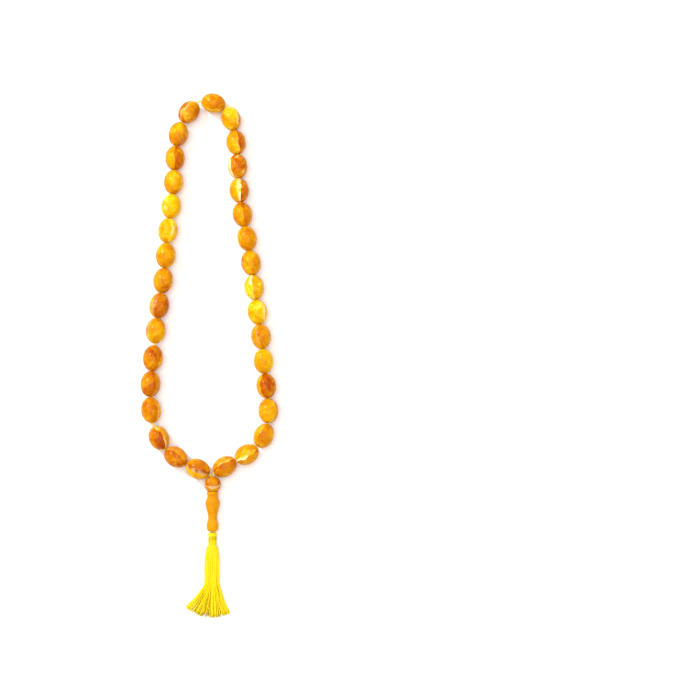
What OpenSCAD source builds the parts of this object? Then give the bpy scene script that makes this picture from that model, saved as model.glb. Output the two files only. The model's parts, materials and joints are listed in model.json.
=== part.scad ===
// Misbaha: a looped strand of 33 oval beads with a head bead, a turned imam and a yarn tassel.
// It lies flat on a surface: +Z is up, +Y runs along the strand away from the tassel.
// The origin is on the surface, under the middle of the whole outline. Millimetres.

/* [Beads] */
// Length of a standard bead along its bore
bead_len = 13.1; // [9:0.1:18]
// Widest diameter of a bead
bead_d = 10.7; // [7:0.1:14]
// Diameter of the flat round each mouth of a bead's bore
bead_flat_d = 2.7; // [2.2:0.1:4]
// Diameter of a bead's bore
bead_bore_d = 1.5; // [1.3:0.05:1.9]
// Bevel at the mouths of every bore
bore_bevel = 0.2; // [0.1:0.05:0.3]
// Free space between neighbouring beads where the cord shows no slack
bead_gap = 0.2; // [0.1:0.05:0.6]

/* [Cord] */
// Diameter of the cord
cord_d = 0.9; // [0.6:0.05:1.1]
// Distance between the two ends of the cord where they run side by side
cord_pitch = 1.1; // [1.1:0.05:1.4]

/* [Head bead] */
// Diameter of the round head bead
head_d = 8.9; // [6:0.1:11]
// Diameter of the flat round each mouth of the head bead's bore
head_flat_d = 3.1; // [2.9:0.1:4.5]
// How far the head bead's mouth is below the last beads' bores
head_drop = 1.6; // [1.5:0.1:8]
// How far the head bead's mouth is to the right of the middle of the last two bores
head_shift = 0.6; // [-1:0.1:1]

/* [Imam] */
// Length of the turned imam piece
imam_len = 21; // [16:0.5:32]
// Diameter of its collar, under the head bead
imam_collar_d = 6; // [5.4:0.1:7]
// Diameter of the groove under the collar
imam_groove_d = 5.5; // [4.6:0.1:5.8]
// Diameter of the upper bulge
imam_bulge_d = 7.6; // [6:0.1:9]
// Diameter of the waist
imam_waist_d = 4.6; // [4:0.1:5.5]
// Diameter of the lower bulge
imam_foot_d = 6.3; // [5:0.1:8]
// Diameter of the end face
imam_end_d = 3.8; // [3.4:0.1:4.6]
// Diameter of the bore through the head bead and the imam, for both cord ends
twin_bore_d = 2.5; // [2.3:0.05:2.7]
// Running space between the head bead and the cup in the imam
cup_gap = 0.2; // [0.15:0.05:0.5]

/* [Tassel] */
// Diameter of the yarn head over the knot
tassel_head_d = 4.9; // [4.4:0.1:6]
// Height of the yarn head
tassel_head_h = 3; // [2.6:0.1:3.6]
// Space between the imam and the yarn head
tassel_gap = 0.3; // [0.3:0.05:1]
// Diameter of the bound neck, over the thread
neck_d = 4.6; // [4:0.1:5.6]
// Thickness of the binding thread
thread_d = 0.35; // [0.2:0.05:0.6]
// Length of the bound neck
neck_len = 3.6; // [2.5:0.1:8]
// Length of the loose yarn under the neck
skirt_len = 39.4; // [25:0.5:60]
// Diameter of the knot inside the yarn head
knot_d = 2.3; // [2.2:0.05:2.5]
// Height of the knot
knot_h = 1.6; // [1:0.1:1.8]

/* [Hidden] */
// Direction of each bead's bore in degrees, travelling up the left side, over the top and down
headings = [155, 148, 116, 98, 86, 85, 85, 81, 83, 87, 84, 83, 87, 88, 78, 53, -12,
            -72, -84, -87, -85, -79, -79, -82, -83, -81, -82, -85, -82, -88, -112, -152, -150];
// How much longer than a standard bead each one is, as they come out of the turning
extra_len = [0, 0, 0, 0.6, 0.6, 0.6, 0.4, 0.4, 0.4, 0.4, 0.3, 0.1, 0, 0, 0, 0, 0,
             0, 0, 0, 0, 0.1, 0.2, 0.2, 0.2, 0.2, 0.1, 0, 0, 0, 0, 0, 0];
// Spare cord that shows after the beads named here: [bead, length]
spare_places = [[3, 1.7], [6, 1.1], [16, 1.2]];
bead_count = len(headings);
fine = 48;          // sides that OpenSCAD draws a turned piece with
cord_sides = 8;
cord_stub = 0.5;    // straight cord outside the last beads' bores
joint_gap = 0.3;    // cord left out where a joint passes through it

// Beads: half of an ellipse is turned, and its tips are cut off as flats
bead_r = bead_d / 2;
flat_r = bead_flat_d / 2;
flat_angle = asin(flat_r / bead_r);
bead_z = bead_r;

function unit(v) = v / norm(v);
function flatDirection(angle) = [cos(angle), sin(angle), 0];
function beadName(i) = str("bead_", i < 10 ? "0" : "", i);
function heading(i) = headings[i - 1];
function halfLen(i) = (bead_len + extra_len[i - 1]) / 2;
function ellipseA(i) = halfLen(i) / cos(flat_angle);
function spareAfter(i) =
    let (found = [for (place = spare_places) if (place[0] == i) place[1]])
    len(found) > 0 ? found[0] : 0;

// How far bead i, turned by an angle, reaches past its bore's mouth, towards its neighbour
function reach(i, angle) =
    let (support = norm([ellipseA(i) * cos(angle), bead_r * sin(angle)]),
         touch = pow(ellipseA(i), 2) * cos(angle) / support)
    touch > halfLen(i) ? flat_r * sin(angle) : support - halfLen(i) * cos(angle);

// Step from the middle of bead i to the middle of the next one
function bendAfter(i) = heading(i + 1) - heading(i);
function cordAfter(i) =
    let (turn = abs(bendAfter(i)) / 2)
    bead_gap + reach(i, turn) + reach(i + 1, turn) + spareAfter(i);
function beadStep(i) =
    halfLen(i) * flatDirection(heading(i)) + halfLen(i + 1) * flatDirection(heading(i + 1))
    + cordAfter(i) * flatDirection(heading(i) + bendAfter(i) / 2);

// Middles of the beads, added up from the first one
function addSteps(i, at) = i == bead_count ? [at] : concat([at], addSteps(i + 1, at + beadStep(i)));
loose_middles = addSteps(1, [0, 0, 0]);

// Pendant: head bead, imam and tassel on one axis that slopes down until each rests on the surface
head_r = head_d / 2;
head_flat_r = head_flat_d / 2;
head_mouth = sqrt(pow(head_r, 2) - pow(head_flat_r, 2));
bulge_at = 0.28 * imam_len;
cup_r = head_r + cup_gap;
imam_rim_r = imam_collar_d / 2 - 0.1;
rim_wall = 0.2;
imam_top = sqrt(pow(cup_r, 2) - pow(imam_rim_r - rim_wall, 2));
imam_end = imam_top + imam_len;
slope = asin((head_r - imam_bulge_d / 2) / (imam_top + bulge_at));
tassel_pivot = imam_end + tassel_gap + tassel_head_h / 2;
neck_top = tassel_pivot + tassel_head_h * 0.4;
skirt_top = neck_top + neck_len;
skirt_end = skirt_top + skirt_len;
core_r = neck_d / 2 - thread_d;

loose_first = loose_middles[0] - halfLen(1) * flatDirection(heading(1));
loose_last = loose_middles[bead_count - 1] + halfLen(bead_count) * flatDirection(heading(bead_count));
loose_mouth = (loose_first + loose_last) / 2 + [head_shift, -head_drop, 0];
loose_head = loose_mouth - [0, head_mouth * cos(slope), 0];

// The whole outline's limits give the origin
function span(angle, i) = norm([ellipseA(i) * cos(angle - heading(i)), bead_r * sin(angle - heading(i))]);
left_limit = min([for (i = [1:bead_count]) loose_middles[i - 1].x - span(0, i)]);
right_limit = max([for (i = [1:bead_count]) loose_middles[i - 1].x + span(0, i)]);
top_limit = max([for (i = [1:bead_count]) loose_middles[i - 1].y + span(90, i)]);
bottom_limit = loose_head.y - skirt_end;
origin_shift = [(left_limit + right_limit) / 2, (top_limit + bottom_limit) / 2, -bead_z];

middles = [for (m = loose_middles) m - origin_shift];
head_middle = [loose_head.x - origin_shift.x, loose_head.y - origin_shift.y, head_r];

// A point t along the pendant's axis from the head bead's middle, and x to the right of it
function pendantPoint(t, x = 0) = head_middle + [x, -t * cos(slope), -t * sin(slope)];

// Skirt of yarn: [share of its length, left edge, right edge, half height]
skirt_stations = [
    [0.08, 3.6, 3.6, 2.7],
    [0.30, 4.1, 4.1, 2.9],
    [0.46, 4.3, 4.3, 2.7],
    [0.55, 5.6, 5.2, 2.4],
    [0.68, 9.2, 6.6, 2.0],
    [0.80, 13.0, 8.2, 1.7],
    [0.86, 14.6, 9.0, 1.6],
    [0.95, 10.4, 9.8, 1.5],
    [1.00, 5.6, 2.6, 1.4]];
skirt_sides = 24;

// Closed solid through a list of rings with the same number of points
module loft(rings) {
    sides = len(rings[0]);
    last = len(rings) - 1;
    polyhedron(
        points = [for (ring = rings) each ring],
        faces = concat(
            [[for (k = [0:sides - 1]) k]],
            [for (j = [0:last - 1], k = [0:sides - 1])
                [j * sides + k, (j + 1) * sides + k, (j + 1) * sides + (k + 1) % sides, j * sides + (k + 1) % sides]],
            [[for (k = [sides - 1:-1:0]) last * sides + k]]));
}

// Ring of a tube round a point, square to a direction
function tubeRing(at, along, radius, sides) =
    let (side = unit(cross([0, 0, 1], along)), up = cross(along, side))
    [for (k = [0:sides - 1])
        at + radius * (cos(360 * k / sides) * side + sin(360 * k / sides) * up)];

// Tube of the cord's diameter along a list of points
module cordTube(route) {
    last = len(route) - 1;
    loft([for (k = [0:last])
        let (before = unit(route[max(k, 1)] - route[max(k, 1) - 1]),
             after = unit(route[min(k, last - 1) + 1] - route[min(k, last - 1)]))
        tubeRing(route[k], unit(before + after), cord_d / 2, cord_sides)]);
}

// Bore with bevelled mouths from z = low to z = high, to be cut out of a turned piece
module bevelledBore(radius, low, high) {
    past = 1;
    rotate_extrude($fn = fine)
        polygon([[0, low - past], [radius + bore_bevel + past, low - past], [radius, low + bore_bevel],
                 [radius, high - bore_bevel], [radius + bore_bevel + past, high + past], [0, high + past]]);
}

// Oval bead about its own middle, bored along Z
module ovalBead(half_len, ellipse_a) {
    steps = 22;
    difference() {
        rotate_extrude($fn = fine)
            polygon(concat(
                [[0, -half_len]],
                [for (k = [0:steps])
                    let (angle = flat_angle + k * (180 - 2 * flat_angle) / steps)
                    [bead_r * sin(angle), -ellipse_a * cos(angle)]],
                [[0, half_len]]));
        bevelledBore(bead_bore_d / 2, -half_len, half_len);
    }
}

// Amber tones, from dark orange to yellow
amber = [[0.93, 0.45, 0.02], [1, 0.65, 0.05], [0.98, 0.55, 0.02], [1, 0.8, 0.1]];

// Bead i on the strand
module bead(i) {
    color(amber[i % len(amber)])
        translate(middles[i - 1])
            rotate([0, 0, heading(i)])
                rotate([0, 90, 0])
                    ovalBead(halfLen(i), ellipseA(i));
}

// Route of the cord: mouth of the head bead, every bore's two ends, and back to the mouth
function boreEnd(i, sign) = middles[i - 1] + sign * halfLen(i) * flatDirection(heading(i));
function mouthPoint(side) = pendantPoint(-head_mouth - joint_gap, side * cord_pitch / 2);
cord_route = concat(
    [mouthPoint(-1), boreEnd(1, -1) - cord_stub * flatDirection(heading(1))],
    [for (i = [1:bead_count], sign = [-1, 1]) boreEnd(i, sign)],
    [boreEnd(bead_count, 1) + cord_stub * flatDirection(heading(bead_count)), mouthPoint(1)]);

module loop_cord() {
    color("gold")
        cordTube(cord_route);
}

// Puts a turned piece on the pendant's axis: its Z runs from the head bead towards the tassel
module onPendant(t = 0) {
    translate(pendantPoint(t))
        rotate([90 + slope, 0, 0])
            children();
}

// Round head bead with a flat at each mouth of its bore
module head_bead() {
    color("orange")
        onPendant()
            difference() {
                intersection() {
                    sphere(r = head_r, $fn = fine);
                    cylinder(r = head_r + 1, h = 2 * head_mouth, center = true, $fn = fine);
                }
                bevelledBore(twin_bore_d / 2, -head_mouth, head_mouth);
            }
}

// Both ends of the cord side by side, from one place on the pendant's axis to another
module twinCord(from, to) {
    onPendant(from)
        for (side = [-1, 1])
            translate([side * cord_pitch / 2, 0, 0])
                cylinder(d = cord_d, h = to - from, $fn = fine);
}

// Cord ends inside the head bead, short of its mouths, where the cord bends as the bead swings
module head_bead_cord() {
    color("gold")
        twinCord(joint_gap - head_mouth, head_mouth);
}

// Outline of the imam: [place along it, radius] where it is widest or narrowest
imam_stations = [
    [0, imam_rim_r],
    [0.055 * imam_len, imam_collar_d / 2],
    [0.12 * imam_len, imam_groove_d / 2],
    [bulge_at, imam_bulge_d / 2],
    [0.67 * imam_len, imam_waist_d / 2],
    [0.857 * imam_len, imam_foot_d / 2]];

// Smooth wave between two stations
function wave(a, b, share) = [a[0] + (b[0] - a[0]) * share, a[1] + (b[1] - a[1]) * (1 - cos(180 * share)) / 2];

// Turned baluster with a cup for the head bead and a rounded end, bored for both cord ends
module imam() {
    steps = 6;
    last = len(imam_stations) - 1;
    foot = imam_stations[last];
    color("darkorange")
        onPendant(imam_top)
            difference() {
                rotate_extrude($fn = fine)
                    polygon(concat(
                        [[0, 0]],
                        [for (j = [0:last - 1], k = [0:steps - 1])
                            let (p = wave(imam_stations[j], imam_stations[j + 1], k / steps))
                            [p[1], p[0]]],
                        [for (k = [0:steps])
                            let (angle = 90 * k / steps)
                            [imam_end_d / 2 + (foot[1] - imam_end_d / 2) * cos(angle),
                             foot[0] + (imam_len - foot[0]) * sin(angle)]],
                        [[0, imam_len]]));
                translate([0, 0, -imam_top])
                    sphere(r = cup_r, $fn = fine);
                bevelledBore(twin_bore_d / 2, -imam_top, imam_len);
            }
}

// Cord ends inside the imam, clear of the head bead as it turns in the cup
module imam_cord() {
    color("gold")
        twinCord(head_r + joint_gap, imam_end);
}

// Yarn folded over the knot, as a squat ball with a flat base and a hollow for the knot
module tassel_head() {
    clearance = 0.04;
    cord_room = 0.15;
    steps = 12;
    base_share = 0.8;
    color("yellow")
        onPendant(tassel_pivot)
            difference() {
                rotate_extrude($fn = fine)
                    polygon(concat(
                        [for (k = [0:steps])
                            let (angle = (180 - acos(base_share)) * k / steps)
                            [tassel_head_d / 2 * sin(angle), -tassel_head_h / 2 * cos(angle)]],
                        [[0, base_share * tassel_head_h / 2]]));
                cylinder(d = knot_d + clearance, h = knot_h + clearance, center = true, $fn = fine);
                translate([0, 0, -tassel_head_h])
                    cylinder(d = cord_pitch + cord_d + 2 * cord_room, h = tassel_head_h, $fn = fine);
            }
}

// Knot that keeps both cord ends in the yarn head: a barrel with the cord ends led into its top
module cord_knot() {
    bevel = 0.1;
    color("gold")
        union() {
            onPendant(tassel_pivot)
                rotate_extrude($fn = fine)
                    polygon([[0, -knot_h / 2], [knot_d / 2 - bevel, -knot_h / 2], [knot_d / 2, bevel - knot_h / 2],
                             [knot_d / 2, knot_h / 2 - bevel], [knot_d / 2 - bevel, knot_h / 2], [0, knot_h / 2]]);
            twinCord(tassel_pivot - tassel_head_h / 2, tassel_pivot - knot_h / 2);
        }
}

// Thread wound round the neck of the tassel
module tassel_binding() {
    clearance = 0.02;
    color("khaki")
        onPendant(neck_top)
            difference() {
                cylinder(d = neck_d, h = neck_len, $fn = fine);
                translate([0, 0, -1])
                    cylinder(r = core_r + clearance, h = neck_len + 2, $fn = fine);
            }
}

// Ring of the skirt: an oval across the skirt, leaning by an angle from upright
function ovalRing(at, left, right, half_height, lean = 0) =
    [for (k = [0:skirt_sides - 1])
        let (angle = 360 * k / skirt_sides,
             across = (right - left) / 2 + (left + right) / 2 * cos(angle),
             up = half_height * sin(angle))
        at + [across, -up * sin(lean), up * cos(lean)]];

// Neck core square to the pendant's axis, then the fanned skirt, which rests on the surface
module tassel_skirt() {
    core_rings = [for (t = [neck_top, skirt_top]) ovalRing(pendantPoint(t), core_r, core_r, core_r, slope)];
    skirt_rings = [for (s = skirt_stations)
        let (axis = pendantPoint(skirt_top + s[0] * skirt_len))
        ovalRing([axis.x, axis.y, s[3]], s[1], s[2], s[3])];
    color("yellow")
        loft(concat(core_rings, skirt_rings));
}

for (i = [1:bead_count]) bead(i);
loop_cord();
head_bead();
head_bead_cord();
imam();
imam_cord();
tassel_head();
cord_knot();
tassel_binding();
tassel_skirt();
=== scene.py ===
import json
import math
import random

import bmesh
import bpy
from mathutils import Matrix, Vector


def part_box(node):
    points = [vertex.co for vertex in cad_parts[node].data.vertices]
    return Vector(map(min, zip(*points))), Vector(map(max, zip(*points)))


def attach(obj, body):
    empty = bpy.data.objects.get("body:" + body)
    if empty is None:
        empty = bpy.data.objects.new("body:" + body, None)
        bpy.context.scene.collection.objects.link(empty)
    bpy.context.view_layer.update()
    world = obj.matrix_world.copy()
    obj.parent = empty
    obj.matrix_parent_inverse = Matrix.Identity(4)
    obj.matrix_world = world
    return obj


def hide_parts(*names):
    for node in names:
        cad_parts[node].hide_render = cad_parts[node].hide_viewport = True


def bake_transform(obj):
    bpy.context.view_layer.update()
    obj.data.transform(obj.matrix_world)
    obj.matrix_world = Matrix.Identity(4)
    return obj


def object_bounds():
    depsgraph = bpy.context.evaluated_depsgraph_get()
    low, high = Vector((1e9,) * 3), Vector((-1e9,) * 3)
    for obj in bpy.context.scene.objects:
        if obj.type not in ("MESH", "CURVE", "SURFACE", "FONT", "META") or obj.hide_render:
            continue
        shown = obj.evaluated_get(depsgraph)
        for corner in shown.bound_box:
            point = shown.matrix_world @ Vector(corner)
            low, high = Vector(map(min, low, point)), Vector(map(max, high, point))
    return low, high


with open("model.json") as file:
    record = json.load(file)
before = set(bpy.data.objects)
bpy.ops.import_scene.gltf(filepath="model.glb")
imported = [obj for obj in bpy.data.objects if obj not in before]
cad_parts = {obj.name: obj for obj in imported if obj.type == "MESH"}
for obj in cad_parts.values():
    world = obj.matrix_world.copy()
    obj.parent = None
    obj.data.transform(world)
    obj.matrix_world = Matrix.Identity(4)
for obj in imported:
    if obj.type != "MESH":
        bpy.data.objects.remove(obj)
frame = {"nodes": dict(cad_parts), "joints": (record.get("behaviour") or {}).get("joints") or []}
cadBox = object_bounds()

mm = 0.001                # sizes in the dictionaries are millimetres, the scene is in metres
middleOfAll = (Vector(cadBox[0]) + Vector(cadBox[1])) / 2
jointOf = {joint["child"]: joint for joint in frame["joints"]}
chance = random.Random(33)


def link(obj):
    bpy.context.scene.collection.objects.link(obj)
    return obj


def pieceFromMesh(name, mesh, material):
    mesh.materials.clear()
    mesh.materials.append(material)
    mesh.polygons.foreach_set("use_smooth", [True] * len(mesh.polygons))
    mesh.update()
    return link(bpy.data.objects.new(name, mesh))


# A closed outline of (radius, height) points in mm is spun round Z, then put in place
def turnedMesh(name, outline, steps, place):
    bm = bmesh.new()
    points = [bm.verts.new((radius * mm, 0, height * mm)) for radius, height in outline]
    edges = [bm.edges.new((points[k - 1], points[k])) for k in range(len(points))]
    bmesh.ops.spin(bm, geom=points + edges, cent=(0, 0, 0), axis=(0, 0, 1), dvec=(0, 0, 0),
                   angle=math.tau, steps=steps, use_merge=True, use_duplicate=False)
    bmesh.ops.remove_doubles(bm, verts=bm.verts, dist=1e-7)
    bmesh.ops.recalc_face_normals(bm, faces=bm.faces)
    mesh = bpy.data.meshes.new(name)
    bm.to_mesh(mesh)
    bm.free()
    local = [vertex.co.copy() for vertex in mesh.vertices]
    mesh.transform(place)
    return mesh, local


def settle(piece, body, finish, *nodes):
    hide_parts(*nodes)
    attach(piece, body)


def floatAttribute(mesh, name, values):
    mesh.attributes.new(name, "FLOAT", "POINT").data.foreach_set("value", values)


def vectorAttribute(mesh, name, vectors):
    flat = [number for vector in vectors for number in vector]
    mesh.attributes.new(name, "FLOAT_VECTOR", "POINT").data.foreach_set("vector", flat)


# Where things are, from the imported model; both reaches are in mm from the head bead's middle
def beadFacts(name):
    low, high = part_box(name)
    middle = (Vector(low) + Vector(high)) / 2
    along = Vector(jointOf[name]["axis"]).normalized()
    reaches = [(vertex.co - middle).dot(along) for vertex in frame["nodes"][name].data.vertices]
    return {"name": name, "middle": middle, "along": along, "half": max(reaches),
            "radius": (high[2] - low[2]) / 2}


beads = [beadFacts(name) for name in sorted(frame["nodes"]) if name.startswith("bead_")]
headMiddle = Vector(jointOf["imam"]["pos_m"])
tasselPivot = Vector(jointOf["tassel"]["pos_m"])
pivotReach = (tasselPivot - headMiddle).length / mm
pendantAxis = (tasselPivot - headMiddle).normalized()
mouthReach = (headMiddle - Vector(jointOf["head_bead"]["pos_m"])).length / mm


# A point on the pendant, t mm from the head bead's middle towards the tassel and x mm to the right
def pendantPoint(t, x=0, up=0):
    upward = pendantAxis.cross(Vector((-1, 0, 0)))
    return headMiddle + pendantAxis * t * mm + Vector((x * mm, 0, 0)) + upward * up * mm


# Puts Z along the pendant's axis and X upwards
def pendantPlace(t):
    return lyingPlace(pendantPoint(t), pendantAxis)


# tilt in degrees from straight above; aside and along move the point it looks at off the strand's middle
camera = {"lens": 85, "sensor": 36, "distance": 887, "tilt": 7, "aside": 75.2, "along": 0.6, "clipEnd": 20}


def placeCamera():
    data = bpy.data.cameras.new("aboveCamera")
    data.lens = camera["lens"]
    data.sensor_width = camera["sensor"]
    data.clip_end = camera["clipEnd"]
    tilt = math.radians(camera["tilt"])
    aim = middleOfAll + Vector((camera["aside"], camera["along"], 0)) * mm
    backward = Vector((0, -math.sin(tilt), math.cos(tilt)))
    obj = link(bpy.data.objects.new("aboveCamera", data))
    obj.location = aim + backward * camera["distance"] * mm
    obj.rotation_euler = (tilt, 0, 0)
    bpy.context.scene.camera = obj


placeCamera()
print("camera placed")


# Node trees: a socket passed as an input is linked, anything else is set on the socket
def addNode(tree, kind, inputs=None, **settings):
    node = tree.nodes.new(kind)
    for key, value in settings.items():
        setattr(node, key, value)
    for key, value in (inputs or {}).items():
        if isinstance(value, bpy.types.NodeSocket):
            tree.links.new(value, node.inputs[key])
        else:
            node.inputs[key].default_value = value
    return node


def maths(tree, operation, *values):
    return addNode(tree, "ShaderNodeMath", dict(enumerate(values)), operation=operation).outputs[0]


# Smooth step from 0 at low to 1 at high
def ease(tree, value, low, high):
    node = addNode(tree, "ShaderNodeMapRange", {"Value": value, "From Min": low, "From Max": high},
                   interpolation_type="SMOOTHSTEP")
    return node.outputs["Result"]


# The Mix node's sockets for colours are numbers 6 and 7, and its colour comes out of number 2
def mixColour(tree, share, first, second):
    node = addNode(tree, "ShaderNodeMix", {0: share, 6: first, 7: second}, data_type="RGBA")
    return node.outputs[2]


def ramp(tree, value, stops):
    node = addNode(tree, "ShaderNodeValToRGB", {"Fac": value})
    elements = node.color_ramp.elements
    while len(elements) < len(stops):
        elements.new(0.5)
    for element, (position, colour) in zip(elements, stops):
        element.position = position
        element.color = (*colour, 1)
    return node.outputs["Color"]


# These three give the output socket of a noise, of a new range and of maths on vectors
def noise(tree, vector, scale, detail=2, roughness=0.5, distortion=0, output="Fac"):
    node = addNode(tree, "ShaderNodeTexNoise", {"Vector": vector, "Scale": scale, "Detail": detail,
                                                "Roughness": roughness, "Distortion": distortion})
    return node.outputs[output]


def spread(tree, value, low, high):
    node = addNode(tree, "ShaderNodeMapRange", {"Value": value, "To Min": low, "To Max": high})
    return node.outputs["Result"]


def vectorMaths(tree, operation, **values):
    inputs = {{"first": 0, "second": 1, "scale": "Scale"}[key]: value for key, value in values.items()}
    return addNode(tree, "ShaderNodeVectorMath", inputs, operation=operation).outputs[0]


socketKinds = {"float": "NodeSocketFloat", "vector": "NodeSocketVector", "colour": "NodeSocketColor"}


def newGroup(name, inputs, outputs):
    tree = bpy.data.node_groups.new(name, "ShaderNodeTree")
    for socket, kind in inputs.items():
        tree.interface.new_socket(name=socket, in_out="INPUT", socket_type=socketKinds[kind])
    for socket, kind in outputs.items():
        tree.interface.new_socket(name=socket, in_out="OUTPUT", socket_type=socketKinds[kind])
    given = tree.nodes.new("NodeGroupInput").outputs
    result = tree.nodes.new("NodeGroupOutput").inputs
    return tree, given, result


def newMaterial(name, **shaderValues):
    material = bpy.data.materials.new(name)
    material.use_nodes = True
    tree = material.node_tree
    tree.nodes.clear()
    values = {key.replace("_", " "): value for key, value in shaderValues.items()}
    shader = addNode(tree, "ShaderNodeBsdfPrincipled", values)
    addNode(tree, "ShaderNodeOutputMaterial", {"Surface": shader.outputs["BSDF"]})
    return material, tree, shader


def attribute(tree, name, output="Fac"):
    return addNode(tree, "ShaderNodeAttribute", attribute_name=name).outputs[output]


def bumpFrom(tree, shader, height, distance, strength):
    bump = addNode(tree, "ShaderNodeBump", {"Height": height, "Distance": distance, "Strength": strength})
    tree.links.new(bump.outputs["Normal"], shader.inputs["Normal"])


# Cast resin poured in folds: soft clouds, brushed strokes, and crisp seams from pole to pole.
# Its patterns are in units of a bead's radius, with Z along the bore
resin = {
    "stops": [(0.00, (0.25, 0.024, 0.000)),
              (0.22, (0.43, 0.080, 0.000)),
              (0.45, (0.58, 0.190, 0.000)),
              (0.65, (0.68, 0.295, 0.000)),
              (0.84, (0.76, 0.425, 0.000)),
              (1.00, (0.82, 0.575, 0.004))],
    "milk": (1.0, 0.84, 0.42, 1),
    "depth": (1.0, 0.24, 0.02),       # how far red, green and blue light travel in it
    "seedSteps": (13.7, 7.1, 3.9),    # how far apart two beads' patterns lie
    "warp": 1.5, "warpScale": 0.9,
    "cloudScale": 0.75, "cloudSwing": 0.75,
    "strokeScale": 1.5, "strokeSwing": 0.70, "strokeTurn": (0.7, 0.5, 0.0), "strokeShape": (0.55, 2.4, 1.5),
    "seamBend": 0.8, "seamFade": 5.0, "seamMilk": (0.075, 0.012),
    "foldLean": 0.8, "foldFade": 9.0, "foldDepth": 0.16,
    "breakScale": 1.1, "breakEdges": (0.42, 0.56),
    "wispStrokes": (0.56, 0.70), "wispClouds": (0.46, 0.60), "wispMilk": 0.55,
}


def makeResinSwirl():
    numbers = {name: "float" for name in ("Seed", "Tone", "Milk", "Cut", "Contrast")}
    tree, given, result = newGroup("resinSwirl", {"Place": "vector", **numbers}, {"Color": "colour"})

    def add(first, second):
        return maths(tree, "ADD", first, second)

    def times(first, second):
        return maths(tree, "MULTIPLY", first, second)

    def turnsOf(angle):
        return maths(tree, "FRACT", maths(tree, "DIVIDE", angle, math.tau))

    offsets = {axis: times(given["Seed"], step) for axis, step in zip("XYZ", resin["seedSteps"])}
    apart = addNode(tree, "ShaderNodeCombineXYZ", offsets).outputs[0]
    moved = vectorMaths(tree, "ADD", first=given["Place"], second=apart)
    drift = noise(tree, moved, resin["warpScale"], 1, output="Color")
    centred = vectorMaths(tree, "SUBTRACT", first=drift, second=(0.5, 0.5, 0.5))
    push = vectorMaths(tree, "SCALE", first=centred, scale=resin["warp"])
    warped = vectorMaths(tree, "ADD", first=moved, second=push)
    cloud = noise(tree, warped, resin["cloudScale"], 1, 0.4)
    brushed = addNode(tree, "ShaderNodeMapping", {
        "Vector": warped, "Rotation": resin["strokeTurn"], "Scale": resin["strokeShape"]}).outputs[0]
    strokes = noise(tree, brushed, resin["strokeScale"], 4, 0.5, 0.5)
    cloudSide = maths(tree, "SUBTRACT", cloud, 0.5)
    strokeSide = maths(tree, "SUBTRACT", strokes, 0.5)
    # the turn runs from 0 to 1 round the bead and jumps back at the seam
    parts = addNode(tree, "ShaderNodeSeparateXYZ", {"Vector": given["Place"]}).outputs
    longitude = maths(tree, "ARCTAN2", parts["Y"], parts["X"])
    bend = times(cloudSide, resin["seamBend"])
    seamTurn = turnsOf(add(longitude, bend))
    after = maths(tree, "POWER", maths(tree, "SUBTRACT", 1.0, seamTurn), resin["seamFade"])
    before = maths(tree, "POWER", seamTurn, resin["seamFade"])
    seam = times(maths(tree, "SUBTRACT", after, before), given["Cut"])
    # a fainter fold leans across the seam
    lean = add(times(parts["Z"], resin["foldLean"]), add(given["Seed"], bend))
    foldTurn = turnsOf(add(longitude, lean))
    fold = times(maths(tree, "POWER", foldTurn, resin["foldFade"]), resin["foldDepth"])
    clouded = times(cloudSide, resin["cloudSwing"])
    stroked = maths(tree, "SUBTRACT", times(strokeSide, resin["strokeSwing"]), fold)
    level = add(add(given["Tone"], seam), times(add(clouded, stroked), given["Contrast"]))
    colour = ramp(tree, level, resin["stops"])
    # milk gathers along the seam and in a few strokes
    edge = ease(tree, seamTurn, *resin["seamMilk"])
    broken = ease(tree, noise(tree, moved, resin["breakScale"], 1), *resin["breakEdges"])
    wisps = times(ease(tree, strokes, *resin["wispStrokes"]), ease(tree, cloud, *resin["wispClouds"]))
    milk = times(add(times(edge, broken), times(wisps, resin["wispMilk"])), given["Milk"])
    tree.links.new(mixColour(tree, milk, colour, resin["milk"]), result["Color"])
    return tree


resinSwirl = makeResinSwirl()


def makeBeadResin():
    material, tree, shader = newMaterial(
        "marbledAmberResin", IOR=1.45, Specular_IOR_Level=0.11, Subsurface_Weight=0.3,
        Subsurface_Scale=0.0012, Subsurface_Radius=resin["depth"])
    place = attribute(tree, "beadPlace", "Vector")
    look = addNode(tree, "ShaderNodeSeparateXYZ", {"Vector": attribute(tree, "beadLook", "Vector")}).outputs
    swirl = addNode(tree, "ShaderNodeGroup", {
        "Place": place, "Seed": attribute(tree, "beadSeed"), "Tone": look["X"], "Milk": look["Y"],
        "Cut": look["Z"], "Contrast": 1.0}, node_tree=resinSwirl)
    tree.links.new(swirl.outputs["Color"], shader.inputs["Base Color"])
    # faint handling marks in the polish
    marks = noise(tree, place, 9, 4, 0.6)
    tree.links.new(spread(tree, marks, 0.14, 0.26), shader.inputs["Roughness"])
    bumpFrom(tree, shader, noise(tree, place, 2.2), 0.00004, 0.25)
    return material


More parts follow.
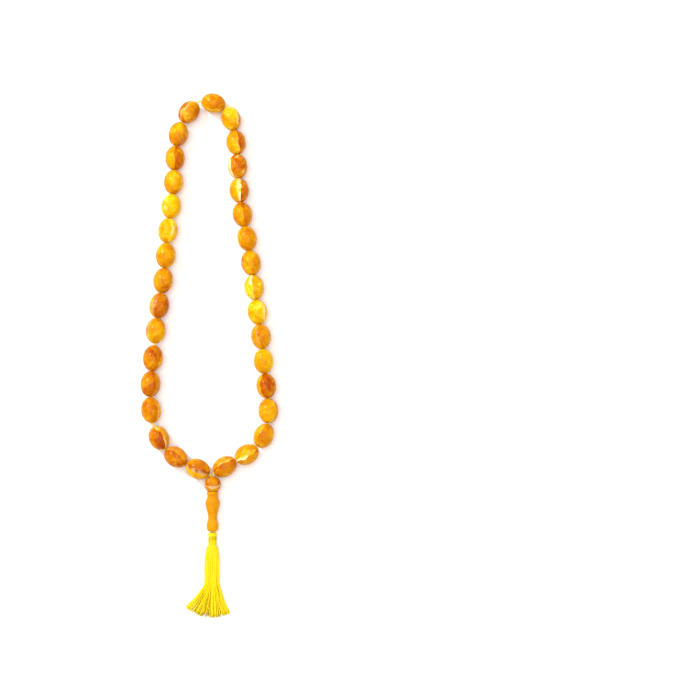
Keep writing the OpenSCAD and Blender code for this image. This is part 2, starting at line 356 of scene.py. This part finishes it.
def makeImamResin():
    material, tree, shader = newMaterial(
        "satinAmberResin", IOR=1.45, Specular_IOR_Level=0.12, Subsurface_Weight=0.2,
        Subsurface_Scale=0.0014, Subsurface_Radius=resin["depth"])
    place = attribute(tree, "beadPlace", "Vector")
    swirl = addNode(tree, "ShaderNodeGroup", {
        "Place": place, "Seed": 5.0, "Tone": 0.58, "Milk": 0.0, "Cut": 0.0, "Contrast": 0.35},
        node_tree=resinSwirl)
    tree.links.new(swirl.outputs["Color"], shader.inputs["Base Color"])
    # fine rings left by the turning
    rings = addNode(tree, "ShaderNodeTexWave", {
        "Vector": place, "Scale": 9.0, "Distortion": 0.6, "Detail": 2.0}, bands_direction="Z").outputs["Fac"]
    tree.links.new(spread(tree, rings, 0.38, 0.48), shader.inputs["Roughness"])
    bumpFrom(tree, shader, rings, 0.00002, 0.2)
    return material


# Fibres of a thread: fine lines that wind along it, and a slow change of tone. The colour follows the fibres'
# height, so the grooves between the fibres carry painted shade on top of the thread's own tone
def makeThreadFibres():
    tree, given, result = newGroup("threadFibres", {"Place": "vector", "Tint": "float", "Winding": "float"},
                                   {"Shade": "float", "Height": "float"})
    parts = addNode(tree, "ShaderNodeSeparateXYZ", {"Vector": given["Place"]}).outputs
    angle = maths(tree, "ARCTAN2", parts["Y"], parts["X"])
    fibresRound = 9.0
    winding = maths(tree, "MULTIPLY", parts["Z"], given["Winding"])
    lines = maths(tree, "SINE", maths(tree, "ADD", maths(tree, "MULTIPLY", angle, fibresRound), winding))
    drawn = addNode(tree, "ShaderNodeMapping", {
        "Vector": given["Place"], "Scale": (2.5, 2.5, 0.8)}).outputs["Vector"]
    grain = noise(tree, drawn, 2.0, 4, 0.6)
    height = maths(tree, "ADD", maths(tree, "MULTIPLY", lines, 0.3), grain)
    # painted shade: the colour is darker where the height is low, in the grooves between the fibres, added to
    # the random tint
    shade = maths(tree, "ADD", maths(tree, "MULTIPLY", height, 0.5), given["Tint"])
    tree.links.new(shade, result["Shade"])
    tree.links.new(height, result["Height"])
    return tree


threadFibres = makeThreadFibres()


def makeThread(name, stops, winding, rough):
    material, tree, shader = newMaterial(name, Roughness=rough, Specular_IOR_Level=0.2, Subsurface_Weight=0.5,
                                         Subsurface_Scale=0.0008, Subsurface_Radius=(1.0, 0.8, 0.02))
    fibres = addNode(tree, "ShaderNodeGroup", {
        "Place": attribute(tree, "threadPlace", "Vector"), "Tint": attribute(tree, "threadTint"),
        "Winding": winding}, node_tree=threadFibres)
    # the base colour carries the painted groove shade together with the thread's own tint
    tree.links.new(ramp(tree, fibres.outputs["Shade"], stops), shader.inputs["Base Color"])
    bumpFrom(tree, shader, fibres.outputs["Height"], 0.00004, 0.5)
    return material


beadResin = makeBeadResin()
imamResin = makeImamResin()
cordThread = makeThread(
    "twistedYellowCord", [(0.1, (0.95, 0.55, 0.01)), (0.9, (1.0, 0.82, 0.04))], 6.0, 0.5)
yarnThread = makeThread(
    "silkyYellowYarn", [(0.05, (1.0, 0.55, 0.0)), (0.40, (1.0, 0.70, 0.0)), (0.95, (1.0, 0.82, 0.02))],
    4.0, 0.42)
print("materials made")


def resample(points, step):
    result = [points[0]]
    left = step
    for start, end in zip(points, points[1:]):
        length = (end - start).length
        at = left
        while at <= length:
            result.append(start.lerp(end, at / length))
            at += step
        left = at - length
    result.append(points[-1])
    return result


# Each point becomes the middle of its neighbours, so that corners turn into bends
def relax(points, reach):
    last = len(points) - 1
    result = []
    for k in range(len(points)):
        near = min(reach, k, last - k)
        group = points[k - near:k + near + 1]
        result.append(sum(group, Vector()) / len(group))
    return result


def lengthOf(points):
    return sum((b - a).length for a, b in zip(points, points[1:]))


# lobe is how deep the plies are cut, against the thread's radius; the others set each strand apart
twist = {"lobe": 0.10, "startTurn": 2.4, "patternStep": 3.7}


# Outline of a thread laid from several plies
def lobedOutline(name, diameter, plies, sides):
    outline = bpy.data.curves.new(name, "CURVE")
    outline.dimensions = "2D"
    ring = outline.splines.new("POLY")
    ring.points.add(sides - 1)
    ring.use_cyclic_u = True
    for k, point in enumerate(ring.points):
        angle = math.tau * k / sides
        radius = diameter / 2 * (1 - twist["lobe"] + twist["lobe"] * math.cos(plies * angle))
        point.co = (radius * math.cos(angle), radius * math.sin(angle), 0, 1)
    return link(bpy.data.objects.new(name, outline))


# Twisted thread along each route: the outline is swept along a curve and turns as it goes
def threadMesh(name, routes, diameter, plies, turn, sides, tints=None):
    outlineObject = lobedOutline(name + "Outline", diameter, plies, sides)
    line = bpy.data.curves.new(name + "Line", "CURVE")
    line.dimensions = "3D"
    line.bevel_mode = "OBJECT"
    line.bevel_object = outlineObject
    for number, route in enumerate(routes):
        spline = line.splines.new("POLY")
        spline.points.add(len(route) - 1)
        run = 0.0
        for k, (point, place) in enumerate(zip(spline.points, route)):
            run += (place - route[k - 1]).length if k else 0.0
            point.co = (*place, 1)
            point.tilt = math.tau * run / (turn * mm) + twist["startTurn"] * number
    lineObject = link(bpy.data.objects.new(name + "Line", line))
    graph = bpy.context.evaluated_depsgraph_get()
    mesh = bpy.data.meshes.new_from_object(lineObject.evaluated_get(graph))
    mesh.name = name
    for obj in (lineObject, outlineObject):
        bpy.data.objects.remove(obj)
    # where each vertex is on its thread, in the order that the sweep made them, before the ends are closed
    places = []
    shades = []
    for number, route in enumerate(routes):
        run = 0.0
        for k, place in enumerate(route):
            run += (place - route[k - 1]).length if k else 0.0
            for side in range(sides):
                angle = math.tau * side / sides
                places.append((math.cos(angle), math.sin(angle), run / mm + twist["patternStep"] * number))
                shades.append(tints[number] if tints else 0.0)
    vectorAttribute(mesh, "threadPlace", places)
    floatAttribute(mesh, "threadTint", shades)
    bm = bmesh.new()
    bm.from_mesh(mesh)
    bmesh.ops.holes_fill(bm, edges=bm.edges, sides=sides)
    bmesh.ops.recalc_face_normals(bm, faces=bm.faces)
    bm.to_mesh(mesh)
    bm.free()
    return mesh


# pitch is the distance between its two ends in the head bead, dip how far inside the head bead it starts,
# stub how far it runs straight out of the last beads, turn the length in which its plies go round once
cord = {"diameter": 0.9, "pitch": 1.1, "stub": 0.5, "plies": 3, "turn": 3.0, "step": 0.3, "dip": 0.75,
        "sides": 12, "easing": 3}


# The cord's route: out of the head bead, through every bead and back into the head bead
def cordRoute():
    def mouth(side):
        return pendantPoint(cord["dip"] - mouthReach, side * cord["pitch"] / 2)

    def onBore(facts, side, beyond=0.0):
        return facts["middle"] + facts["along"] * side * (facts["half"] + beyond * mm)

    route = [mouth(-1), onBore(beads[0], -1, cord["stub"])]
    for facts in beads:
        route += [onBore(facts, -1), onBore(facts, 1)]
    route += [onBore(beads[-1], 1, cord["stub"]), mouth(1)]
    return relax(resample(route, cord["step"] * mm), cord["easing"])


def cordMesh(name, routes):
    return threadMesh(name, routes, cord["diameter"] * mm, cord["plies"], cord["turn"], cord["sides"])


def makeCords():
    route = cordRoute()
    piece = pieceFromMesh("strandCord", cordMesh("strandCord", [route]), cordThread)
    settle(piece, "strand_cord", "cord", "loop_cord")
    print("strand cord length in mm:", round(lengthOf(route) / mm, 1))


# Both ends of the cord, side by side, along the pendant
def twinCordPiece(name, start, end):
    routes = []
    for aside in (-cord["pitch"] / 2, cord["pitch"] / 2):
        ends = [pendantPoint(start, aside), pendantPoint(end, aside)]
        routes.append(resample(ends, cord["step"] * mm))
    return pieceFromMesh(name, cordMesh(name, routes), cordThread)


makeCords()
print("cords made")


# Each bead's look: tone (0 rust, 1 bright yellow), milk, seam (degrees round from its upper side) and cut
# (how much brighter it is past the seam than before it)
bead = {
    "bore": 1.5, "mouthRound": 0.22, "flat": 2.7, "edgeRound": 0.12, "edgeDrop": 0.05, "edgeSpread": 0.02,
    "ovalSteps": 18, "mouthSteps": 4, "aroundSteps": 48, "seedStep": 1.37,
    "looks": [(0.56, 0.3, -25, -0.24), (0.42, 0.1, 20, 0.10), (0.50, 0.4, 18, 0.20), (0.58, 0.1, 45, 0.10),
              (0.46, 0.1, 35, 0.10), (0.48, 0.0, 60, 0.08), (0.52, 0.1, -50, 0.08), (0.50, 0.2, -35, -0.16),
              (0.54, 0.1, 70, 0.08), (0.60, 0.1, -60, 0.15), (0.84, 0.5, 25, 0.06), (0.84, 0.4, -40, 0.06),
              (0.66, 0.1, 50, 0.06), (0.50, 0.0, 5, -0.20), (0.58, 0.1, 30, -0.12), (0.46, 0.2, -30, 0.14),
              (0.62, 0.1, 48, 0.12), (0.72, 0.4, -55, 0.18), (0.60, 0.1, -25, 0.22), (0.54, 0.9, 50, 0.22),
              (0.56, 1.0, -10, 0.34), (0.52, 0.0, -8, 0.12), (0.62, 0.1, 65, 0.08), (0.56, 0.1, 50, -0.14),
              (0.82, 1.0, 8, 0.18), (0.80, 0.4, -50, 0.08), (0.60, 0.1, 10, 0.14), (0.72, 0.2, 70, 0.06),
              (0.50, 0.0, 35, 0.24), (0.56, 0.1, -50, 0.14), (0.58, 0.1, 20, 0.12), (0.66, 1.0, -20, 0.14),
              (0.58, 0.1, 15, 0.16)],
}


# Arc of a circle in the outline, as (radius, height) points
def arc(middle, size, start, end, steps):
    angles = [math.radians(start + (end - start) * k / steps) for k in range(steps + 1)]
    return [(middle[0] + size * math.cos(angle), middle[1] + size * math.sin(angle)) for angle in angles]


# Upper half of a bead's outline, from the bore over the flat to the widest place
def ovalOutline(radius, half):
    bore = bead["bore"] / 2
    lip = bead["mouthRound"]
    flat = bead["flat"] / 2
    cut = math.asin(flat / radius)
    oval = half / math.cos(cut)
    upper = arc((bore + lip, half - lip), lip, 180, 90, bead["mouthSteps"])
    upper.append((flat - bead["edgeRound"], half))
    for k in range(bead["ovalSteps"] + 1):
        angle = cut + (math.pi / 2 - cut) * k / bead["ovalSteps"]
        upper.append((radius * math.sin(angle), oval * math.cos(angle)))
    # the flat's rim is polished down a little
    rim = bead["mouthSteps"] + 2
    upper[rim] = (upper[rim][0] + bead["edgeSpread"], upper[rim][1] - bead["edgeDrop"])
    return upper


def mirrored(upper):
    return upper + [(radius, -height) for radius, height in reversed(upper[:-1])]


def markResin(mesh, local, size, seed, look):
    tone, milk, seam, cut = look
    turn = Matrix.Rotation(-math.radians(seam), 3, "Z")
    count = len(mesh.vertices)
    vectorAttribute(mesh, "beadPlace", [turn @ vector / size for vector in local])
    vectorAttribute(mesh, "beadLook", [(tone, milk, cut)] * count)
    floatAttribute(mesh, "beadSeed", [seed] * count)


# Puts Z along a direction and X upwards
def lyingPlace(middle, along):
    aside = along.cross(Vector((0, 0, 1))).normalized()
    upward = aside.cross(along)
    return Matrix.Translation(middle) @ Matrix((upward, aside, along)).transposed().to_4x4()


def makeBead(number, facts):
    outline = mirrored(ovalOutline(facts["radius"] / mm, facts["half"] / mm))
    place = lyingPlace(facts["middle"], facts["along"])
    mesh, local = turnedMesh("ovalBead", outline, bead["aroundSteps"], place)
    markResin(mesh, local, facts["radius"], number * bead["seedStep"], bead["looks"][number])
    name = facts["name"]
    piece = pieceFromMesh(name.replace("bead_", "ovalBead"), mesh, beadResin)
    settle(piece, name, "bead_resin", name)


for number, facts in enumerate(beads):
    makeBead(number, facts)
print("oval beads made:", len(beads))


headBead = {"bore": 2.5, "mouthRound": 0.3, "flat": 3.1, "edgeAngle": 1, "steps": 14, "mouthSteps": 5,
            "aroundSteps": 48, "look": (0.48, 0.45, -28, -0.16), "seed": 91.3, "cordStart": 0.75}


def makeHeadBead():
    low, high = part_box("head_bead")
    radius = (high[2] - low[2]) / 2 / mm
    lip = headBead["mouthRound"]
    cut = math.degrees(math.asin(headBead["flat"] / 2 / radius))
    half = radius * math.cos(math.radians(cut))
    upper = arc((headBead["bore"] / 2 + lip, half - lip), lip, 180, 90, headBead["mouthSteps"])
    upper += arc((0, 0), radius, 90 - cut - headBead["edgeAngle"], 0, headBead["steps"])
    mesh, local = turnedMesh("headBead", mirrored(upper), headBead["aroundSteps"], pendantPlace(0))
    # its seam runs from side to side
    across = [Vector((vector.x, -vector.z, vector.y)) for vector in local]
    markResin(mesh, across, radius * mm, headBead["seed"], headBead["look"])
    settle(pieceFromMesh("headBead", mesh, beadResin), "head_bead", "bead_resin", "head_bead")
    inside = twinCordPiece("headBeadCord", headBead["cordStart"] - half, half)
    settle(inside, "head_bead", "cord", "head_bead_cord")


makeHeadBead()
print("head bead made")


# top is the distance from the head bead's middle; cup is the radius of the hollow that the head bead sits in
imam = {
    "top": 3.79, "length": 21, "bore": 2.5, "mouthRound": 0.25, "cup": 4.65, "rim": 2.9, "rimRound": 0.2,
    "end": 1.9,
    # stations along it: distance, radius
    "stations": [(0.0, 2.90), (1.1, 3.05), (2.5, 2.70), (5.88, 3.82), (14.07, 2.30), (18.0, 3.17)],
    "waveSteps": 10, "footSteps": 14, "mouthSteps": 4, "cupSteps": 6, "aroundSteps": 56,
    "grain": 5,               # size of its marbling
    # where the cord starts, starts to bend and ends, from the head bead's middle or the imam's end
    "cordStart": 4.8, "bendFrom": -0.8, "bendStart": -0.3, "bendEnd": 0.75,
}


def imamOutline():
    stations = imam["stations"]
    outline = []
    for (placeA, radiusA), (placeB, radiusB) in zip(stations, stations[1:]):
        for k in range(imam["waveSteps"]):
            share = k / imam["waveSteps"]
            wave = (1 - math.cos(math.pi * share)) / 2
            outline.append((radiusA + (radiusB - radiusA) * wave, placeA + (placeB - placeA) * share))
    foot, widest = stations[-1]
    for k in range(imam["footSteps"] + 1):
        angle = math.pi / 2 * k / imam["footSteps"]
        outline.append((imam["end"] + (widest - imam["end"]) * math.cos(angle),
                        foot + (imam["length"] - foot) * math.sin(angle)))
    lip = imam["mouthRound"]
    bore = imam["bore"] / 2
    outline += arc((bore + lip, imam["length"] - lip), lip, 90, 180, imam["mouthSteps"])
    # back up the bore and over the cup that the head bead sits in
    cupStart = math.degrees(math.acos(bore / imam["cup"]))
    cupEnd = math.degrees(math.acos((imam["rim"] - imam["rimRound"]) / imam["cup"]))
    outline += arc((0, -imam["top"]), imam["cup"], cupStart, cupEnd, imam["cupSteps"])
    return outline


def makeImam():
    mesh, local = turnedMesh("imam", imamOutline(), imam["aroundSteps"], pendantPlace(imam["top"]))
    vectorAttribute(mesh, "beadPlace", [vector / (imam["grain"] * mm) for vector in local])
    settle(pieceFromMesh("turnedImam", mesh, imamResin), "imam", "imam_resin", "imam")
    end = imam["top"] + imam["length"]
    settle(twinCordPiece("imamCord", imam["cordStart"], end + imam["bendFrom"]), "imam", "cord", "imam_cord")
    # the last of the cord, from just inside the imam's end on into the tassel's head, made straight and left
    # where it is made
    bending = twinCordPiece("bendingCord", end + imam["bendFrom"], end + imam["bendEnd"])
    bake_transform(bending)


makeImam()
print("imam made")


tassel = {
    "strands": 210, "strandDiameter": 0.5, "strandTurn": 8.0, "strandSides": 6, "points": 30,
    "neck": 3.6, "headDrop": 1.2, "neckRadius": 1.62,
    # stations down the skirt: distance, half width, half height
    "stations": [(0.0, 1.75, 1.75), (3.0, 3.0, 2.3), (7.7, 3.75, 2.5), (13.5, 3.85, 2.5), (20.5, 3.85, 2.2)],
    "wobble": 0.22, "tintSpread": 0.35,
}
# The fan at the skirt's end: how its strands turn (degrees) and how far they reach. It opens further to
# the left, in a few clumps, and its outer strands are shorter
fan = {
    "middle": -6.5, "spread": 31.5, "bow": -2, "clump": 2.4, "clumps": 11, "clumpStart": 0.6, "stray": 2.2,
    "reach": 17.9, "leftCut": 1.6, "rightCut": 1.3, "cutFrom": 0.3, "uneven": (-0.09, 0.03),
    "endHeight": 0.75, "shares": (0.3, 0.62, 1.0), "firstBend": 0.62, "wave": 0.3, "fall": 1.3,
}


# Smooth curve through the points
def throughPoints(points, count):
    padded = [points[0] * 2 - points[1]] + points + [points[-1] * 2 - points[-2]]
    result = []
    spans = len(points) - 1
    for k in range(count):
        place = spans * k / (count - 1)
        index = min(int(place), spans - 1)
        u = place - index
        a, b, c, d = padded[index:index + 4]
        result.append(0.5 * (2 * b + (c - a) * u + (2 * a - 5 * b + 4 * c - d) * u ** 2
                             + (3 * b - a - 3 * c + d) * u ** 3))
    return result


# One strand: down the neck, through the narrow part of the skirt, then out over the fan
def strandRoute(across, up):
    radius = tassel["strandDiameter"] / 2
    neckStart = pivotReach + tassel["headDrop"]
    neckEnd = neckStart + tassel["neck"]
    lift = pendantPoint(neckEnd).z / mm
    points = [pendantPoint(neckStart, across * tassel["neckRadius"], up * tassel["neckRadius"])]
    for distance, halfWidth, halfHeight in tassel["stations"]:
        place = pendantPoint(neckEnd + distance)
        middle = lift if distance == 0 else halfHeight + radius
        wobble = chance.uniform(-tassel["wobble"], tassel["wobble"]) if distance else 0
        aside = across * halfWidth + wobble
        height = max(middle + up * halfHeight, radius)
        points.append(Vector((place.x + aside * mm, place.y, height * mm)))
    clump = fan["clump"] * math.sin(across * fan["clumps"] + fan["clumpStart"])
    stray = chance.uniform(-fan["stray"], fan["stray"])
    angle = math.radians(fan["middle"] + fan["spread"] * across + fan["bow"] * across ** 2 + clump + stray)
    full = 1 - fan["cutFrom"]
    leftCut = fan["leftCut"] * max(0, -across - fan["cutFrom"]) / full
    rightCut = fan["rightCut"] * (max(0, across - fan["cutFrom"]) / full) ** 2
    reach = (fan["reach"] - leftCut - rightCut) * (1 + chance.uniform(*fan["uneven"]))
    start = points[-1]
    high = start.z / mm
    low = radius + (up + 1) * fan["endHeight"]
    for share in fan["shares"]:
        bent = angle * (fan["firstBend"] + (1 - fan["firstBend"]) * share)
        aside = reach * share * math.sin(bent) + chance.uniform(-fan["wave"], fan["wave"]) * share
        down = reach * share * math.cos(bent)
        height = high + (low - high) * min(1, share * fan["fall"])
        points.append(Vector((start.x + aside * mm, start.y - down * mm, height * mm)))
    return throughPoints(points, tassel["points"])


# The strands start on a sunflower's spiral, which fills the round neck evenly
def makeSkirt():
    goldenAngle = math.pi * (3 - math.sqrt(5))
    routes = []
    tints = []
    for k in range(tassel["strands"]):
        out = math.sqrt((k + 0.5) / tassel["strands"])
        angle = k * goldenAngle
        routes.append(strandRoute(out * math.cos(angle), out * math.sin(angle)))
        tints.append(chance.uniform(0.0, tassel["tintSpread"]))
    mesh = threadMesh("tasselSkirt", routes, tassel["strandDiameter"] * mm, 2, tassel["strandTurn"],
                      tassel["strandSides"], tints)
    settle(pieceFromMesh("tasselSkirt", mesh, yarnThread), "tassel", "tassel_yarn", "tassel_skirt")


# Thread wound round the pendant's axis: start and end are distances from the head bead. With a bulge
# the turns follow an oval that is as tall as the bulge on each side of its middle
def wound(start, end, radius, turns, perTurn, middle=0.0, bulge=None):
    count = int(turns * perTurn) + 1
    points = []
    for k in range(count):
        share = k / (count - 1)
        angle = math.tau * turns * share
        t = start + (end - start) * share
        size = radius * math.sqrt(1 - ((t - middle) / bulge) ** 2) if bulge else radius
        points.append(pendantPoint(t, size * math.cos(angle), size * math.sin(angle)))
    return points


# Marks a turned piece for the thread materials
def markThread(mesh, local, tint=0.1):
    vectorAttribute(mesh, "threadPlace", [vector / mm for vector in local])
    floatAttribute(mesh, "threadTint", [tint] * len(local))


def radiusOf(node):
    low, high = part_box(node)
    return (high[0] - low[0]) / 2 / mm


tasselHead = {
    "thread": 0.78, "turns": 3.0, "perTurn": 40, "start": -0.85, "end": 0.72, "proud": 0.05, "bulge": 1.25,
    "plies": 3, "pliesTurn": 2.6, "sides": 12, "tint": 0.3, "coreSteps": 40,
    # outline of the yarn inside the turns, round a hole for the cord
    "core": [(1.2, -0.95), (1.4, -0.95), (1.75, -0.6), (2.0, 0.2), (1.95, 0.8), (1.85, 1.35), (1.2, 1.35)],
}


def makeTasselHead():
    core, local = turnedMesh("tasselHeadCore", tasselHead["core"], tasselHead["coreSteps"],
                             pendantPlace(pivotReach))
    markThread(core, local)
    corePiece = pieceFromMesh("tasselHeadCore", core, yarnThread)
    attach(corePiece, "tassel")
    radius = radiusOf("tassel_head") + tasselHead["proud"] - tasselHead["thread"] / 2
    collar = wound(pivotReach + tasselHead["start"], pivotReach + tasselHead["end"], radius,
                   tasselHead["turns"], tasselHead["perTurn"], pivotReach, tasselHead["bulge"])
    mesh = threadMesh("tasselHead", [collar], tasselHead["thread"] * mm, tasselHead["plies"],
                      tasselHead["pliesTurn"], tasselHead["sides"], [tasselHead["tint"]])
    settle(pieceFromMesh("tasselHead", mesh, yarnThread), "tassel", "tassel_yarn", "tassel_head")


binding = {"thread": 0.3, "start": 1.3, "spacing": 1.02, "overlap": 0.1, "perTurn": 32, "plies": 2,
           "pliesTurn": 1.2, "sides": 8, "tint": 0.3}


def makeBinding():
    start = pivotReach + binding["start"]
    turns = (tassel["neck"] + binding["overlap"]) / (binding["thread"] * binding["spacing"])
    radius = radiusOf("tassel_binding") - binding["thread"] / 2
    route = wound(start, start + tassel["neck"], radius, turns, binding["perTurn"])
    mesh = threadMesh("neckBinding", [route], binding["thread"] * mm, binding["plies"], binding["pliesTurn"],
                      binding["sides"], [binding["tint"]])
    settle(pieceFromMesh("neckBinding", mesh, yarnThread), "tassel", "tassel_yarn", "tassel_binding")


makeTasselHead()
makeBinding()
makeSkirt()
print("tassel made")


knot = {"radius": 1.15, "half": 0.8, "round": 0.3, "roundSteps": 4, "aroundSteps": 24}


# The cord's knot, out of sight in the tassel's head
def makeKnot():
    corner = (knot["radius"] - knot["round"], knot["round"] - knot["half"])
    lower = [(0, -knot["half"])] + arc(corner, knot["round"], -90, 0, knot["roundSteps"])
    outline = lower + [(radius, -height) for radius, height in reversed(lower)]
    mesh, local = turnedMesh("cordKnot", outline, knot["aroundSteps"], lyingPlace(tasselPivot, pendantAxis))
    markThread(mesh, local)
    settle(pieceFromMesh("cordKnot", mesh, cordThread), "tassel", "cord", "cord_knot")


makeKnot()
print("knot made")


# places in metres, powers in watts
studio = {
    "floorSize": 6, "floorDrop": 0.2, "floorShades": [(0.3, (0.90, 0.90, 0.90)), (0.7, (0.93, 0.93, 0.93))],
    "keyPlace": (-0.75, 0.65, 1.0), "keySize": 0.22, "keyPower": 12.4,
    "overPlace": (0.1, -0.1, 1.5), "overSize": 1.4, "overPower": 17.6,
    "world": 0.62,
}


def makeFloor():
    bm = bmesh.new()
    bmesh.ops.create_grid(bm, x_segments=2, y_segments=2, size=studio["floorSize"] / 2)
    mesh = bpy.data.meshes.new("floor")
    bm.to_mesh(mesh)
    bm.free()
    material, tree, shader = newMaterial("paleFloor", Roughness=0.9)
    grain = noise(tree, addNode(tree, "ShaderNodeTexCoord").outputs["Object"], 300, 3)
    tree.links.new(ramp(tree, grain, studio["floorShades"]), shader.inputs["Base Color"])
    floor = pieceFromMesh("floor", mesh, material)
    floor.location = (0, 0, -studio["floorDrop"] * mm)


def areaLight(name, place, size, power):
    data = bpy.data.lights.new(name, "AREA")
    data.size = size
    data.energy = power
    obj = link(bpy.data.objects.new(name, data))
    obj.location = place
    obj.rotation_euler = (middleOfAll - Vector(place)).to_track_quat("-Z", "Y").to_euler()


def makeLight():
    areaLight("keyLight", studio["keyPlace"], studio["keySize"], studio["keyPower"])
    areaLight("overheadLight", studio["overPlace"], studio["overSize"], studio["overPower"])
    world = bpy.data.worlds.new("studioWorld")
    bpy.context.scene.world = world
    world.use_nodes = True
    background = world.node_tree.nodes["Background"]
    background.inputs["Color"].default_value = (1, 1, 1, 1)
    background.inputs["Strength"].default_value = studio["world"]
    bpy.context.scene.view_settings.view_transform = "Standard"


makeFloor()
makeLight()
print("studio made")
